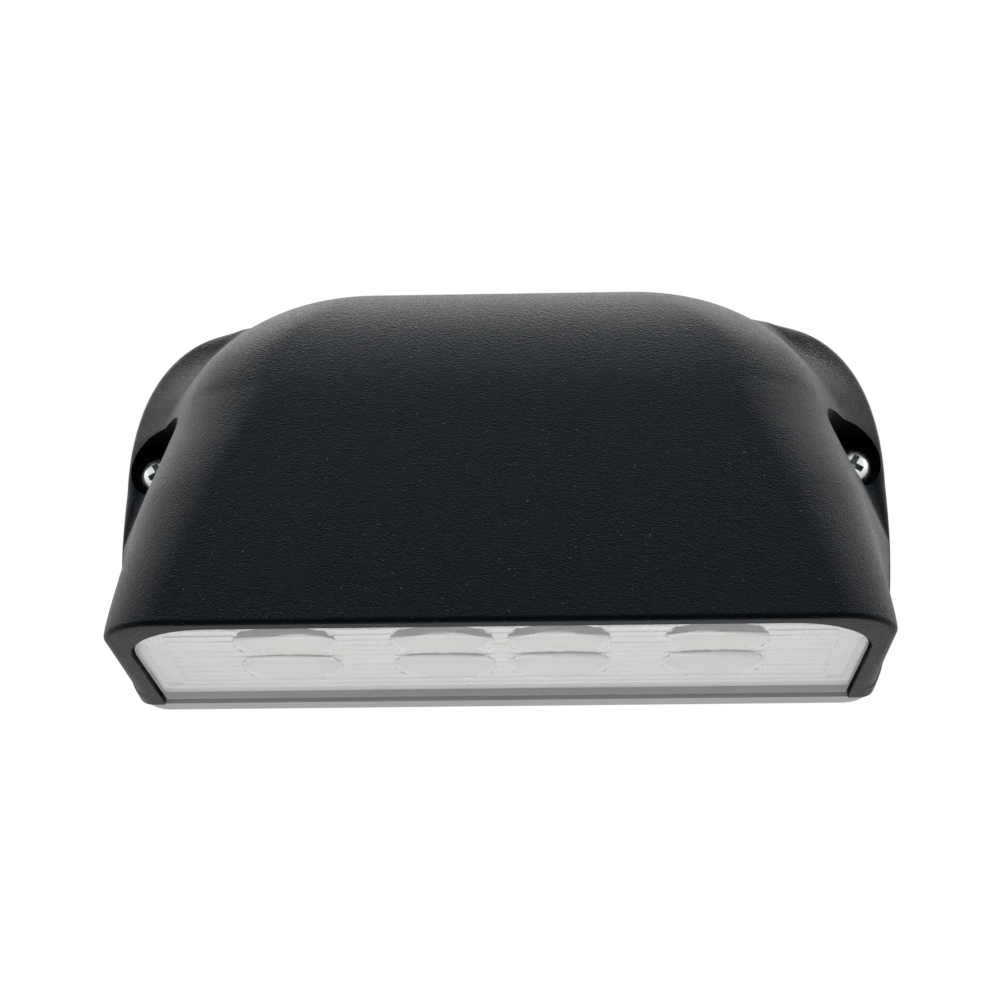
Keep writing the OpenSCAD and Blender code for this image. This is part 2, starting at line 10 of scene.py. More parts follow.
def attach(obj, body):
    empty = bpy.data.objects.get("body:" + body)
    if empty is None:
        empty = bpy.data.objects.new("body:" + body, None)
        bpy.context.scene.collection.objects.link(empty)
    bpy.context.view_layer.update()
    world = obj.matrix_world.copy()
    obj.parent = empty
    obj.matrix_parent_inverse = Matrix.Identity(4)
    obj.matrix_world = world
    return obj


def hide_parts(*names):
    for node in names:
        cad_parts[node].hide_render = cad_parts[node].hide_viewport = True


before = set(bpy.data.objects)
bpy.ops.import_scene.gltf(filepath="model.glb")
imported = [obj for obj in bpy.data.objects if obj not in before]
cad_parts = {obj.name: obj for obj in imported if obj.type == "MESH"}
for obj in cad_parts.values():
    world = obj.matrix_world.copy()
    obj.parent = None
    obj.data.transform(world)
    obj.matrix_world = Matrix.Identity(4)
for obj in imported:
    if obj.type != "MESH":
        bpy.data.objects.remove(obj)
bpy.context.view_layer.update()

# Sizes are in millimetres and become metres when a mesh is made.
# "Depth" is measured out of the panel (-Y), "height" up from the lower edge of the back face.
MM = 0.001

# Hood outline and section
HOOD_H = 70.0
HOOD_DEPTH = 47.2
TOP_DEPTH = 31.3
EAR_W = 67.8
FOOT_W = 62.0
LIP_W = 63.8
CROWN_W = 43.0
WALL = 2.6
EAR_DEPTH = 8.0
ROLL_H = 38.0
ROLL_POWER = 3
ROLL_FULL = 3.5
ROOF_DEPTH = 15.8
EAR_H = 35.8
EAR_TOP_W = 48.8
EAR_POWER = 2.45
EAR_EDGE_R = 2.4
EAR_RISE = 0.5
EAR_LIFT = 6.0
LIFT_H = 37.0
LIFT_RUN = 12.0
FALL_H = 53.0
FALL_RUN = 14.0
FALL_SHARE = 0.7
CREASE_H = 24.8
CREASE_RISE = 43.5
CREASE_IN = 15.2
CREASE_POWER = 1.15
CREASE_TOP_IN = 3.0
CREASE_TOP_POWER = 6
CREASE_R = 5.0
CREASE_GAP = 0.3
CROWN_POWER = 1.15
CROWN_ARC_H = 19.7
CROWN_ARC_W = 20.8
LIP_CORNER_R = 9.4
TOP_CORNER_R = 23.6
CORE_DRAFT = 1.5
OPEN_SWELL = 8.0
OPEN_BULGE = 6.4

# Fixing screws and their pockets
SCREW_X = 62.0
SCREW_H = 42.2
SCREW_HOLE_R = 2.05
POCKET_X = 61.4
POCKET_R = 5.6
POCKET_FLOOR = 5.2

# Lens, its opening and its optics
TILT = math.radians(4)
LENS_TAPER = math.radians(2.2)
LENS_W = 59.6
LENS_FRONT = 44.0
LENS_BACK = 5.0
LENS_CORNER = 13.5
LENS_LOW = 0.4
LENS_TOP = 3.2
SEAL_W = 0.5
LEDGE_W = 3.0
FLANGE_TOP = 4.4
SHELF_Z = 6.6
FLUTES = 11
FLUTE_PITCH = 2.6
FLUTE_FIRST = 10.4
FLUTE_END = 54.4
FLUTE_H = 0.6
FLUTE_W = 1.9
LIGHT_X = (-35.0, -9.5, 9.5, 35.0)
LIGHT_S = (18.3, 31.0)
OPTIC_R = 8.5
OPTIC_H = 1.2
OPTIC_WALL = 0.6

# Base plate and its screws
BASE_T = 3.0
BASE_SCREWS = ((-55.0, 24.8), (55.0, 24.8), (-34.0, 57.8), (34.0, 57.8))
BASE_BORE_R = 1.65
BASE_BORE_DEPTH = 17.0
POST_R = 3.4


def arc_fall(k):
    """What is left of a quarter circle's height at the share k of its run."""
    return math.sqrt(max(0.0, 1.0 - k * k))


def ear_x(z):
    """Half width of the ear outline at a height."""
    if z > EAR_H:
        k = min(1.0, (z - EAR_H) / (HOOD_H - EAR_H))
        return EAR_TOP_W + (EAR_W - EAR_TOP_W) * (1 - k ** EAR_POWER) ** (1 / EAR_POWER)
    return FOOT_W + (EAR_W - FOOT_W) * arc_fall((EAR_H - z) / EAR_H)


def crease_x(z):
    """Half width of the crease between ear and flank at a height."""
    k = max(0.0, (z - CREASE_H) / CREASE_RISE)
    line = EAR_W - CREASE_IN * k ** CREASE_POWER - CREASE_TOP_IN * k ** CREASE_TOP_POWER
    return min(ear_x(z) - CREASE_GAP, line)


def smooth_step(k):
    """Soft rise from 0 to 1 while k does the same."""
    k = max(0.0, min(1.0, k))
    return k * k * (3 - 2 * k)


def crease_y(z):
    """Depth of the crease at a height: round the pocket the ear slopes up towards the flank."""
    lift = smooth_step((z - LIFT_H) / LIFT_RUN) * (1 - FALL_SHARE * smooth_step((z - FALL_H) / FALL_RUN))
    return EAR_DEPTH + EAR_RISE + EAR_LIFT * lift


def front_y(z):
    """Depth of the hood front at a height, rolling over softly to the roof."""
    line = HOOD_DEPTH + (TOP_DEPTH - HOOD_DEPTH) * z / HOOD_H
    k = min(1.0, max(0.0, (z - ROLL_H) / (HOOD_H - ROLL_H)))
    return ROOF_DEPTH + (line - ROOF_DEPTH) * (1 - k ** ROLL_POWER) ** (1 / ROLL_FULL)


def front_x(z):
    """Half width of the hood front at a height, before its corner is rounded."""
    fall = 1 - arc_fall(max(0.0, (z - HOOD_H + CROWN_ARC_H) / CROWN_ARC_H))
    return LIP_W + (CROWN_W - LIP_W) * (z / HOOD_H) ** CROWN_POWER - CROWN_ARC_W * fall


def side_r(z):
    """Radius of the hood's front corners at a height."""
    return LIP_CORNER_R + (TOP_CORNER_R - LIP_CORNER_R) * z / HOOD_H


def lean(d, z):
    """Height of a point at depth d of the station at height z: the low stations follow the tilted rim."""
    return z - d * math.tan(TILT) * (1 - z / HOOD_H)


def round_corner(a, b, c, r, n):
    """Arc of n steps that rounds corner b between a and c, never past half of either leg."""
    a, b, c = (np.array(p, float) for p in (a, b, c))
    u, w = a - b, c - b
    lu, lw = np.linalg.norm(u), np.linalg.norm(w)
    u, w = u / lu, w / lw
    half = math.acos(max(-1.0, min(1.0, float(u @ w)))) / 2
    t = min(r / math.tan(half), 0.48 * lu, 0.48 * lw)
    rad = t * math.tan(half)
    mid = b + (u + w) / np.linalg.norm(u + w) * rad / math.sin(half)
    p, q = b + u * t - mid, b + w * t - mid
    a0 = math.atan2(p[1], p[0])
    turn = math.atan2(p[0] * q[1] - p[1] * q[0], float(p @ q))
    return [tuple(mid + rad * np.array([math.cos(a0 + turn * i / n), math.sin(a0 + turn * i / n)]))
            for i in range(n + 1)]


def joined(parts, steps):
    """One outline from arcs, with each straight run between two arcs cut into its number of steps."""
    line = [parts[0][0]]
    for i, part in enumerate(parts):
        if i:
            a, b = line[-1], part[0]
            line += [(a[0] + (b[0] - a[0]) * k / steps[i - 1], a[1] + (b[1] - a[1]) * k / steps[i - 1])
                     for k in range(1, steps[i - 1])]
        line += part if i else part[1:]
    return line


def skin_half(z, g=0.0):
    """Half of the hood's section at a height, drawn in by g, from back edge to the front's middle."""
    foot, edge = (ear_x(z) - g, BASE_T), (ear_x(z) - g, EAR_DEPTH)
    crease = (crease_x(z) - g, crease_y(z))
    corner, middle = (front_x(z) - g, front_y(z) - g), (0.0, front_y(z) - g)
    parts = [[foot, (foot[0], foot[1] + CREASE_GAP)],
             round_corner(foot, edge, crease, EAR_EDGE_R, 8),
             round_corner(edge, crease, corner, CREASE_R, 10),
             round_corner(crease, corner, middle, side_r(z) - g, 30)]
    line = joined(parts, (3, 6, 10))
    last = line[-1]
    return line + [(last[0] * (1 - k / FRONT_STEPS), last[1]) for k in range(1, FRONT_STEPS)]


def open_x(z):
    """Half width of the hood's opening at a height, drawn in round the fixing pockets."""
    return crease_x(z) - WALL - OPEN_BULGE * math.exp(-((z - SCREW_H) / OPEN_SWELL) ** 2)


def core_half(z):
    """Half of the hood's inside at a height, one wall smaller than the skin."""
    up = z * HOOD_H / (HOOD_H - WALL)
    foot, edge = (open_x(z), 0.0), (open_x(z), EAR_DEPTH)
    corner = (min(front_x(up), open_x(z) + WALL - CORE_DRAFT) - WALL, front_y(up) - WALL)
    return ([foot] + round_corner(foot, edge, corner, CREASE_R, 4)
            + round_corner(edge, corner, (0.0, corner[1]), side_r(up) - WALL, 12))


def ring(half, z):
    """A whole closed station from its half, in the lamp's frame."""
    right = [(x, -d, lean(d, z) - SCREW_H) for x, d in half]
    return right + [(-x, y, zz) for x, y, zz in reversed(right)]


def on_rim(x, s, h):
    """A point given along the lens plane (s to the front, h into the hood) in the lamp's frame."""
    return (x, -s * math.cos(TILT) - h * math.sin(TILT), -s * math.sin(TILT) + h * math.cos(TILT) - SCREW_H)


def new_object(name, verts, faces):
    """A mesh object with its points in millimetres, which dress() makes metres."""
    mesh = bpy.data.meshes.new(name)
    mesh.from_pydata(verts, [], faces)
    mesh.validate()
    piece = bpy.data.objects.new(name, mesh)
    bpy.context.scene.collection.objects.link(piece)
    return piece


def outward(piece):
    """Turns all faces of a closed mesh outwards."""
    bm = bmesh.new()
    bm.from_mesh(piece.data)
    bmesh.ops.remove_doubles(bm, verts=bm.verts, dist=1e-5)
    bmesh.ops.recalc_face_normals(bm, faces=bm.faces)
    bm.to_mesh(piece.data)
    bm.free()
    return piece


def loft(name, rings, fan=False, run=0):
    """Closed solid through rings with equal numbers of points.

    Each cap is one face (fan), or strips across a mirrored ring, the last of which takes in the points
    of a straight run in the middle.
    """
    n = len(rings[0])
    verts = [p for r in rings for p in r]
    faces = [(j * n + i, j * n + (i + 1) % n, (j + 1) * n + (i + 1) % n, (j + 1) * n + i)
             for j in range(len(rings) - 1) for i in range(n)]
    top = (len(rings) - 1) * n
    if fan:
        faces += [tuple(range(n)), tuple(range(top, top + n))]
    else:
        last = n // 2 - 2 - run
        for base in (0, top):
            faces += [(base + i, base + n - 1 - i, base + n - 2 - i, base + i + 1) for i in range(last)]
            faces.append(tuple(range(base + last, base + n - last)))
    return outward(new_object(name, verts, faces))


def revolve(name, profile, steps, place):
    """Closed solid of revolution from (radius, height) points, put in the lamp's frame by place."""
    verts, rows = [], []
    for r, h in profile:
        if r < 1e-6:
            rows.append([len(verts)] * steps)
            verts.append(place(0, 0, h))
        else:
            rows.append(list(range(len(verts), len(verts) + steps)))
            verts += [place(r * math.cos(2 * math.pi * i / steps), r * math.sin(2 * math.pi * i / steps), h)
                      for i in range(steps)]
    faces = []
    for a, b in zip(rows, rows[1:]):
        for i in range(steps):
            k = (i + 1) % steps
            face = list(dict.fromkeys((a[i], a[k], b[k], b[i])))
            if len(face) > 2:
                faces.append(tuple(face))
    return outward(new_object(name, verts, faces))


def cut(piece, tool, operation="DIFFERENCE"):
    """Applies an exact boolean with another object and removes that object."""
    mod = piece.modifiers.new("cut", "BOOLEAN")
    mod.operation = operation
    mod.solver = "EXACT"
    mod.object = tool
    with bpy.context.temp_override(object=piece, active_object=piece, selected_objects=[piece]):
        bpy.ops.object.modifier_apply(modifier=mod.name)
    bpy.data.objects.remove(tool)
    return piece


def join(name, pieces):
    """One object from several."""
    bm = bmesh.new()
    for piece in pieces:
        bm.from_mesh(piece.data)
        bpy.data.objects.remove(piece)
    mesh = bpy.data.meshes.new(name)
    bm.to_mesh(mesh)
    bm.free()
    whole = bpy.data.objects.new(name, mesh)
    bpy.context.scene.collection.objects.link(whole)
    return whole


def smooth(piece, angle=30):
    """Smooth shading, with edges sharper than the angle kept crisp."""
    piece.data.shade_smooth()
    piece.data.set_sharp_from_angle(angle=math.radians(angle))
    return piece


def dress(piece, material, slot, *nodes):
    """Brings a finished piece to metres and gives it its material, body and nodes. The slot is not used."""
    piece.data.transform(Matrix.Scale(MM, 4))
    piece.data.materials.clear()
    piece.data.materials.append(material)
    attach(piece, "root")
    if nodes:
        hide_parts(*nodes)
    return piece


def rim_outline(w, back, front, corner, g, steps=20):
    """Outline of lens-like parts on the rim plane as (x, s): tapered sides, round front corners."""
    turns = [-LENS_TAPER + (math.pi / 2 + LENS_TAPER) * i / steps for i in range(steps + 1)]
    arc = [(w - corner + (corner + g) * math.cos(a), front - corner + (corner + g) * math.sin(a))
           for a in turns]
    rear = arc[0][0] - (arc[0][1] - back) * math.tan(LENS_TAPER)
    right = [(rear, back)] + arc
    return right + [(-x, s) for x, s in reversed(right)]


def rim_loft(name, levels, w, back, front, corner):
    """Solid through lens outlines grown by g at heights h, from a list of (g, h)."""
    outlines = [(h, rim_outline(w, back, front, corner, g)) for g, h in levels]
    return loft(name, [[on_rim(x, s, h) for x, s in outline] for h, outline in outlines])


def out_of_panel(x, height):
    """Placer for turned parts whose axis runs out of the panel at a place on it."""
    return lambda a, b, h: (x + a, -h, height - SCREW_H + b)


# Hood

RIM_ROUND = 0.9
RIM_STEPS = 5
RIM_CLEAR = 1.05
POCKET_LIP = 0.2
LIP_OVER = 0.03
LIP_STEPS = 4
OPENING_BELOW = 8.0
SHELF_LAP = 0.02
STATIONS = 110
CORE_STATIONS = 26
FRONT_STEPS = 24


def hood_skin():
    """Outside of the hood as one closed body, its lower rim rounded."""
    rings = []
    for i in range(RIM_STEPS + 1):
        turn = math.radians(90 - 90 / RIM_STEPS * i)
        z = RIM_ROUND * (1 - math.sin(turn))
        rings.append(ring(skin_half(z, RIM_ROUND * (1 - math.cos(turn))), z))
    for j in range(STATIONS):
        z = HOOD_H * math.sin(math.pi / 2 * j / (STATIONS - 1))
        if z > RIM_ROUND * RIM_CLEAR:
            rings.append(ring(skin_half(z), z))
    return loft("hood_shell", rings, run=FRONT_STEPS - 1)


def hood_core():
    """Room inside the hood above the lens shelf, less the posts of the base screws."""
    top = HOOD_H - WALL
    zs = [top * math.sin(math.pi / 2 * j / (CORE_STATIONS - 1)) for j in range(CORE_STATIONS)]
    core = loft("core", [ring(core_half(z), z) for z in zs])
    far = 2 * HOOD_DEPTH
    corners = ((EAR_W, -far), (EAR_W, far), (-EAR_W, far), (-EAR_W, -far))
    block = loft("block", [[on_rim(x, s, h) for x, s in corners] for h in (SHELF_Z, 2 * HOOD_H)])
    cut(core, block, "INTERSECT")
    post = [(0, BASE_T), (POST_R, BASE_T), (POST_R, HOOD_DEPTH), (0, HOOD_DEPTH)]
    posts = [revolve("post", post, 24, out_of_panel(x, z)) for x, z in BASE_SCREWS]
    return cut(core, join("posts", posts))


def hood_pockets():
    """Screw pockets with their shank holes, and the bores of the base screws."""
    far = HOOD_DEPTH + WALL
    pocket = [(0, -1), (SCREW_HOLE_R, -1), (SCREW_HOLE_R, POCKET_FLOOR), (POCKET_R, POCKET_FLOOR),
              (POCKET_R, far), (0, far)]
    bore = [(0, -1), (BASE_BORE_R, -1), (BASE_BORE_R, BASE_BORE_DEPTH), (0, BASE_BORE_DEPTH)]
    pockets = [revolve("pocket", pocket, 72, out_of_panel(s * POCKET_X, SCREW_H)) for s in (-1, 1)]
    bores = [revolve("bore", bore, 24, out_of_panel(x, z)) for x, z in BASE_SCREWS]
    return join("pockets", pockets + bores)


def lens_opening():
    """Stepped opening for lens and light, its mouth rounded."""
    lip = []
    for i in range(LIP_STEPS + 1):
        turn = math.radians(90 / LIP_STEPS * i)
        grown = SEAL_W + POCKET_LIP * (1 - math.sin(turn))
        lip.append((grown, POCKET_LIP * (1 - math.cos(turn)) - LIP_OVER))
    levels = [(lip[0][0], -OPENING_BELOW)] + lip
    levels += [(SEAL_W, FLANGE_TOP), (-LEDGE_W, FLANGE_TOP), (-LEDGE_W, SHELF_Z + SHELF_LAP)]
    return rim_loft("opening", levels, LENS_W, 0, LENS_FRONT, LENS_CORNER)


def make_hood(material):
    hood = hood_skin()
    for tool in (hood_core(), lens_opening(), hood_pockets()):
        cut(hood, tool)
    return dress(smooth(hood, 32), material, "hood_plastic", "hood")


# Lens

FLUTE_STEPS = 8
DOME_STEPS = 12
FOOT_SUNK = 0.05
LENS_EDGE = 0.2
EDGE_SHARE = 0.3


def flute(s):
    """One rounded flute, its foot sunk into the lens."""
    turns = [math.pi * i / FLUTE_STEPS for i in range(FLUTE_STEPS + 1)]
    section = [(s + FLUTE_W / 2 * math.cos(a), LENS_TOP - FOOT_SUNK + (FLUTE_H + FOOT_SUNK) * math.sin(a))
               for a in turns]
    rings = [[on_rim(x, p, h) for p, h in section] for x in (-FLUTE_END, FLUTE_END)]
    return loft("flute", rings, fan=True)


def optic(x0, s0):
    """One round optic: a low wall under a dome."""
    rise = OPTIC_H - OPTIC_WALL
    ball = (OPTIC_R ** 2 + rise ** 2) / (2 * rise)
    top = math.asin(OPTIC_R / ball)
    turns = [top * (1 - i / DOME_STEPS) for i in range(DOME_STEPS)]
    dome = [(ball * math.sin(a), OPTIC_WALL + rise - ball + ball * math.cos(a)) for a in turns]
    profile = [(0, -FOOT_SUNK), (OPTIC_R, -FOOT_SUNK)] + dome + [(0, OPTIC_H)]
    return revolve("optic", profile, 64, lambda a, b, h: on_rim(x0 + a, s0 + b, LENS_TOP + h))


def make_lens(material):
    e = LENS_EDGE
    inner = e * EDGE_SHARE
    levels = [(-e, LENS_LOW), (-inner, LENS_LOW + inner), (0, LENS_LOW + e), (0, LENS_TOP - e),
              (-e, LENS_TOP)]
    lens = rim_loft("lens_cover", levels, LENS_W, LENS_BACK, LENS_FRONT, LENS_CORNER)
    cut(lens, join("flutes", [flute(FLUTE_FIRST + i * FLUTE_PITCH) for i in range(FLUTES)]), "UNION")
    for s in LIGHT_S:
        cut(lens, join("optics", [optic(x, s) for x in LIGHT_X]), "UNION")
    return dress(smooth(lens, 25), material, "lens_clear", "lens")


# Screws

HEAD_R = 3.5
HEAD_H = 2.6
HEAD_RIM = 0.38
HEAD_ROUND = 0.55
HEAD_ARC_STEPS = 14
HEAD_STEPS = 48
SEAT_IN = 0.94
SEAT_EDGE = 0.3
CROSS_ARM = 0.6
CROSS_HALF = 0.16
CROSS_HALF_KEPT = 0.55
CROSS_TURN = 30
CROSS_LEVELS = ((1.0, HEAD_H + 0.2), (0.92, HEAD_H * 0.7), (0.45, HEAD_H * 0.3))
SHANK_R = 1.75
SHANK_LENGTH = 22
NECK = 2.0
NECK_SHARE = 0.8
NECK_INTO_HEAD = 0.2
NECK_INTO_THREAD = 0.3
THREAD_PITCH = 1.35
THREAD_CORE = 0.74
THREAD_ROWS = 9
SHANK_STEPS = 28
TIP_SHARE = 0.12
TIP_RUN = 2.6


def head_profile():
    """Pan head from the rim of its seat up to the middle of its top, as (radius, height)."""
    low = HEAD_RIM * HEAD_H
    turns = [math.pi / 2 * i / HEAD_ARC_STEPS for i in range(HEAD_ARC_STEPS)]
    arc = [(HEAD_R * math.cos(a) ** HEAD_ROUND, low + (HEAD_H - low) * math.sin(a)) for a in turns]
    return [(HEAD_R * SEAT_IN, 0), (HEAD_R, low * SEAT_EDGE)] + arc + [(0, HEAD_H)]


def cross_tool(turn, place):
    """Tapered cross recess, its mouth just over the head's top."""
    rings = []
    for grow, z in CROSS_LEVELS:
        arm = HEAD_R * CROSS_ARM * grow
        half = HEAD_R * CROSS_HALF * (CROSS_HALF_KEPT + (1 - CROSS_HALF_KEPT) * grow)
        loop = []
        for q in range(4):
            angle = math.radians(turn + 90 * q)
            for a, b in ((half, -half), (arm, -half), (arm, half)):
                loop.append(place(a * math.cos(angle) - b * math.sin(angle),
                                  a * math.sin(angle) + b * math.cos(angle), z))
        rings.append(loop)
    return loft("cross", rings, fan=True)


def thread(place):
    """Threaded shank from the neck down to a pointed tip."""
    core = SHANK_R * THREAD_CORE
    rows = int((SHANK_LENGTH - NECK) / THREAD_PITCH * THREAD_ROWS)
    rings = []
    for j in range(rows + 1):
        h = -NECK + (NECK - SHANK_LENGTH) * j / rows
        tip = min(1.0, TIP_SHARE + (h + SHANK_LENGTH) / (TIP_RUN * SHANK_R))
        loop = []
        for i in range(SHANK_STEPS):
            phase = (h / THREAD_PITCH - i / SHANK_STEPS) % 1.0
            ridge = max(0.0, 1 - abs(phase - 0.5) * 4)
            rad = (core + (SHANK_R - core) * ridge) * tip
            angle = 2 * math.pi * i / SHANK_STEPS
            loop.append(place(rad * math.cos(angle), rad * math.sin(angle), h))
        rings.append(loop)
    return loft("thread", rings, fan=True)


def neck(place):
    """Plain stretch of shank between head and thread, sunk a little into both."""
    r, low = SHANK_R * NECK_SHARE, -NECK - NECK_INTO_THREAD
    profile = [(0, NECK_INTO_HEAD), (r, NECK_INTO_HEAD), (r, low), (0, low)]
    return revolve("neck", profile, SHANK_STEPS, place)


def make_screw(side, name, node, material, painted_shade_material):
    """A pan head screw seated on its pocket's floor, its cross recess darkened with painted shade."""
    def place(a, b, h):
        return (side * SCREW_X + a, -h - POCKET_FLOOR, b)

    head = revolve("head", [(0, 0)] + head_profile(), HEAD_STEPS, place)
    cross = cross_tool(-CROSS_TURN * side, place)
    for piece in (head, cross):
        piece.data.materials.append(material)
        piece.data.materials.append(painted_shade_material)
    # The cross recess faces take a darker copy of the zinc: painted shade in the recess.
    for face in cross.data.polygons:
        face.material_index = 1
    cut(head, cross)
    screw = join(name, [head, neck(place), thread(place)])
    smooth(outward(screw), 35)
    sunk = [face.index for face in screw.data.polygons if face.material_index == 1]
    dress(screw, material, "zinc_steel", node)
    screw.data.materials.append(painted_shade_material)
    for i in sunk:
        screw.data.polygons[i].material_index = 1
    return screw


# Materials


def new_material(name):
    """A node material with its tree and its main shader."""
    material = bpy.data.materials.new(name)
    material.use_nodes = True
    return material, material.node_tree, material.node_tree.nodes["Principled BSDF"]


def add(tree, kind, **values):
    """A shader node with its properties and inputs set by name."""
    node = tree.nodes.new(kind)
    for key, value in values.items():
        if hasattr(node, key):
            setattr(node, key, value)
        else:
            node.inputs[key.replace("_", " ")].default_value = value
    return node


def object_noise(tree, size, detail=2.0, roughness=0.5):
    """Noise whose features are about the given size in millimetres."""
    coord = tree.nodes.get("coord") or add(tree, "ShaderNodeTexCoord", name="coord")
    noise = add(tree, "ShaderNodeTexNoise", Scale=1 / (size * MM), Detail=detail, Roughness=roughness)
    tree.links.new(coord.outputs["Object"], noise.inputs["Vector"])
    return noise.outputs["Fac"]


def ramp(tree, value, low, high, to_low, to_high):
    """Maps a value from one range to another."""
    node = add(tree, "ShaderNodeMapRange")
    for key, number in (("From Min", low), ("From Max", high), ("To Min", to_low), ("To Max", to_high)):
        node.inputs[key].default_value = number
    tree.links.new(value, node.inputs["Value"])
    return node.outputs["Result"]


def mixed(tree, fac, a, b):
    """Colour between a and b."""
    node = add(tree, "ShaderNodeMix", data_type="RGBA")
    node.inputs[6].default_value = (*a, 1)
    node.inputs[7].default_value = (*b, 1)
    tree.links.new(fac, node.inputs[0])
    return node.outputs[2]


def bump(tree, height, strength, distance, below=None):
    """Bumps from a height, on top of another bump where one is given; the distance is in millimetres."""
    node = add(tree, "ShaderNodeBump", Strength=strength, Distance=distance * MM)
    tree.links.new(height, node.inputs["Height"])
    if below is not None:
        tree.links.new(below, node.inputs["Normal"])
    return node.outputs["Normal"]


def moulded(name, dark, light, rough, grain, strength, level, cloud=9.0):
    """Moulded plastic or rubber: cloudy colour, fine grain in the surface and in the roughness."""
    material, tree, shader = new_material(name)
    clouds = object_noise(tree, cloud, 3)
    fine = object_noise(tree, grain, 3, 0.6)
    tree.links.new(mixed(tree, ramp(tree, clouds, 0.3, 0.7, 0, 1), dark, light), shader.inputs["Base Color"])
    tree.links.new(ramp(tree, fine, 0.3, 0.7, rough - 0.07, rough + 0.07), shader.inputs["Roughness"])
    tree.links.new(bump(tree, fine, strength, grain * 0.5), shader.inputs["Normal"])
    shader.inputs["Specular IOR Level"].default_value = level
    return material


def metal(name, colour, rough):
    """Plated or bare metal: faint clouds in tone and roughness, and a finely uneven surface."""
    material, tree, shader = new_material(name)
    clouds = object_noise(tree, 1.2, 3)
    dark = tuple(c * 0.86 for c in colour)
    tone = mixed(tree, ramp(tree, clouds, 0.3, 0.7, 0, 1), dark, colour)
    tree.links.new(tone, shader.inputs["Base Color"])
    tree.links.new(ramp(tree, clouds, 0.3, 0.7, rough - 0.06, rough + 0.1), shader.inputs["Roughness"])
    tree.links.new(bump(tree, object_noise(tree, 0.3, 2), 0.12, 0.03), shader.inputs["Normal"])
    shader.inputs["Metallic"].default_value = 1.0
    return material


# The white surroundings are reflected in full, so the hood's own colour and shine are set low.
GRAIN = 0.3
GLINT_SIZE = 0.5
HOOD_DARK = (0.0002, 0.0005, 0.001)
HOOD_LIGHT = (0.0012, 0.0022, 0.0036)
# Pale colour of the specks: painted glints of the grain.
PAINTED_GLINT_COLOUR = (0.025, 0.03, 0.033)
HOOD_ROUGH = 0.37
HOOD_SHINE = 0.24
HOOD_TINT = (0.07, 0.12, 0.17)
GLINT_FROM = 0.79
GLINT_FULL = 0.84


def grained_hood():
    """Black moulded plastic with a spark-eroded grain: fine bumps and speckled tone, with a few pale specks
    that are painted glints of the grain.
    """
    material, tree, shader = new_material("black_hood")
    fine = object_noise(tree, GRAIN, 2, 0.65)
    coarse = object_noise(tree, 2.2 * GRAIN, 2, 0.5)
    # Pale specks in the base colour: painted glints, not flecks in the plastic.
    painted_glints = ramp(tree, object_noise(tree, GLINT_SIZE, 0), GLINT_FROM, GLINT_FULL, 0, 1)
    tone = mixed(tree, ramp(tree, fine, 0.35, 0.65, 0, 1), HOOD_DARK, HOOD_LIGHT)
    glint_mix = add(tree, "ShaderNodeMix", data_type="RGBA")
    tree.links.new(painted_glints, glint_mix.inputs[0])
    tree.links.new(tone, glint_mix.inputs[6])
    glint_mix.inputs[7].default_value = (*PAINTED_GLINT_COLOUR, 1)
    tree.links.new(glint_mix.outputs[2], shader.inputs["Base Color"])
    rough = ramp(tree, fine, 0.35, 0.65, HOOD_ROUGH - 0.08, HOOD_ROUGH + 0.12)
    tree.links.new(rough, shader.inputs["Roughness"])
    shape = bump(tree, fine, 0.9, 0.6 * GRAIN, bump(tree, coarse, 0.3, 0.5 * GRAIN))
    tree.links.new(shape, shader.inputs["Normal"])
    shader.inputs["Specular IOR Level"].default_value = HOOD_SHINE
    shader.inputs["Specular Tint"].default_value = (*HOOD_TINT, 1)
    return material


# The refractive index is below real polycarbonate's 1.58, at which the optics would look dark.
LENS_BEND = 1.14
LENS_COAT = 0.6


def lens_material():
    """Clear polycarbonate with a faint haze in its moulded surface, letting lamp light straight through."""
    material, tree, shader = new_material("clear_polycarbonate")
    haze = object_noise(tree, 6.0, 3)
    tree.links.new(ramp(tree, haze, 0.3, 0.7, 0.02, 0.05), shader.inputs["Roughness"])
    tree.links.new(bump(tree, object_noise(tree, 3.0, 2), 0.05, 0.05), shader.inputs["Normal"])
    shader.inputs["Base Color"].default_value = (0.985, 0.99, 0.985, 1)
    shader.inputs["IOR"].default_value = LENS_BEND
    shader.inputs["Coat Weight"].default_value = LENS_COAT
    shader.inputs["Coat Roughness"].default_value = 0.03
    shader.inputs["Transmission Weight"].default_value = 0.93
    path = tree.nodes.new("ShaderNodeLightPath")
    indirect = add(tree, "ShaderNodeMath", operation="MAXIMUM")
    tree.links.new(path.outputs["Is Shadow Ray"], indirect.inputs[0])
    tree.links.new(path.outputs["Is Diffuse Ray"], indirect.inputs[1])
    through = tree.nodes.new("ShaderNodeBsdfTransparent")
    through.inputs["Color"].default_value = (0.94, 0.95, 0.94, 1)
    both = tree.nodes.new("ShaderNodeMixShader")
    tree.links.new(indirect.outputs[0], both.inputs[0])
    tree.links.new(shader.outputs["BSDF"], both.inputs[1])
    tree.links.new(through.outputs["BSDF"], both.inputs[2])
    tree.links.new(both.outputs[0], tree.nodes["Material Output"].inputs["Surface"])
    return material


# Scene


def area(name, place, size, radiance):
    """A soft lamp aimed at the part, unseen by the camera, of a set brightness over its face."""
    lamp = bpy.data.lights.new(name, "AREA")
    lamp.shape = "RECTANGLE"
    lamp.size, lamp.size_y = size
    lamp.energy = radiance * math.pi * size[0] * size[1]
    obj = bpy.data.objects.new(name, lamp)
    obj.location = place
    obj.rotation_mode = "QUATERNION"
    obj.rotation_quaternion = (-Vector(place)).to_track_quat("-Z", "Y")
    obj.visible_camera = False
    obj.visible_transmission = False
    bpy.context.scene.collection.objects.link(obj)


SURFACE_LIGHT = 0.6
BACKGROUND = 1.0


